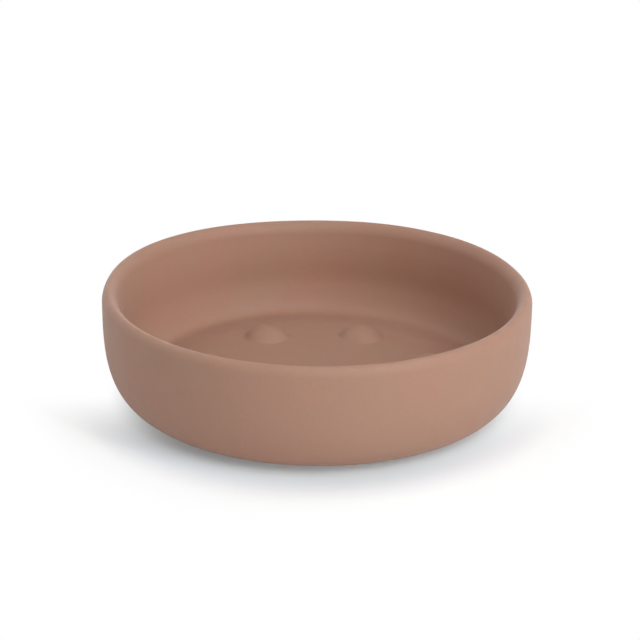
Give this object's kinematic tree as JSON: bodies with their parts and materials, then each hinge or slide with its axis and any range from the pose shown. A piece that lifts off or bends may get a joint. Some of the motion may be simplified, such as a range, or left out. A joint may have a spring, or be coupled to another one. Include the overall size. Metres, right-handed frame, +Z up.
{
  "type": "ceramic soap dish",
  "caption": "Low round stoneware soap dish with a rounded lip, soft lower edge, domed nubs that lift the soap, and non-slip pads under a recessed foot.",
  "frame": {"origin": "on the table, under the middle of the dish", "axes": "+Z up along the dish's own axis; +X and +Y lie in the table plane, with one nub at -Y, towards the viewer of the picture, and a gap between two nubs at +Y"},
  "size_m": [0.12, 0.12, 0.0324],
  "materials": {
    "matt_stoneware": "fine matt coat, terracotta",
    "pad_rubber": "matt, light grey"
  },
  "bodies": {
    "root": {"dish_body": "matt_stoneware", "non_slip_pad_1": "pad_rubber", "non_slip_pad_2": "pad_rubber", "non_slip_pad_3": "pad_rubber", "non_slip_pad_4": "pad_rubber"}
  },
  "joints": []
}
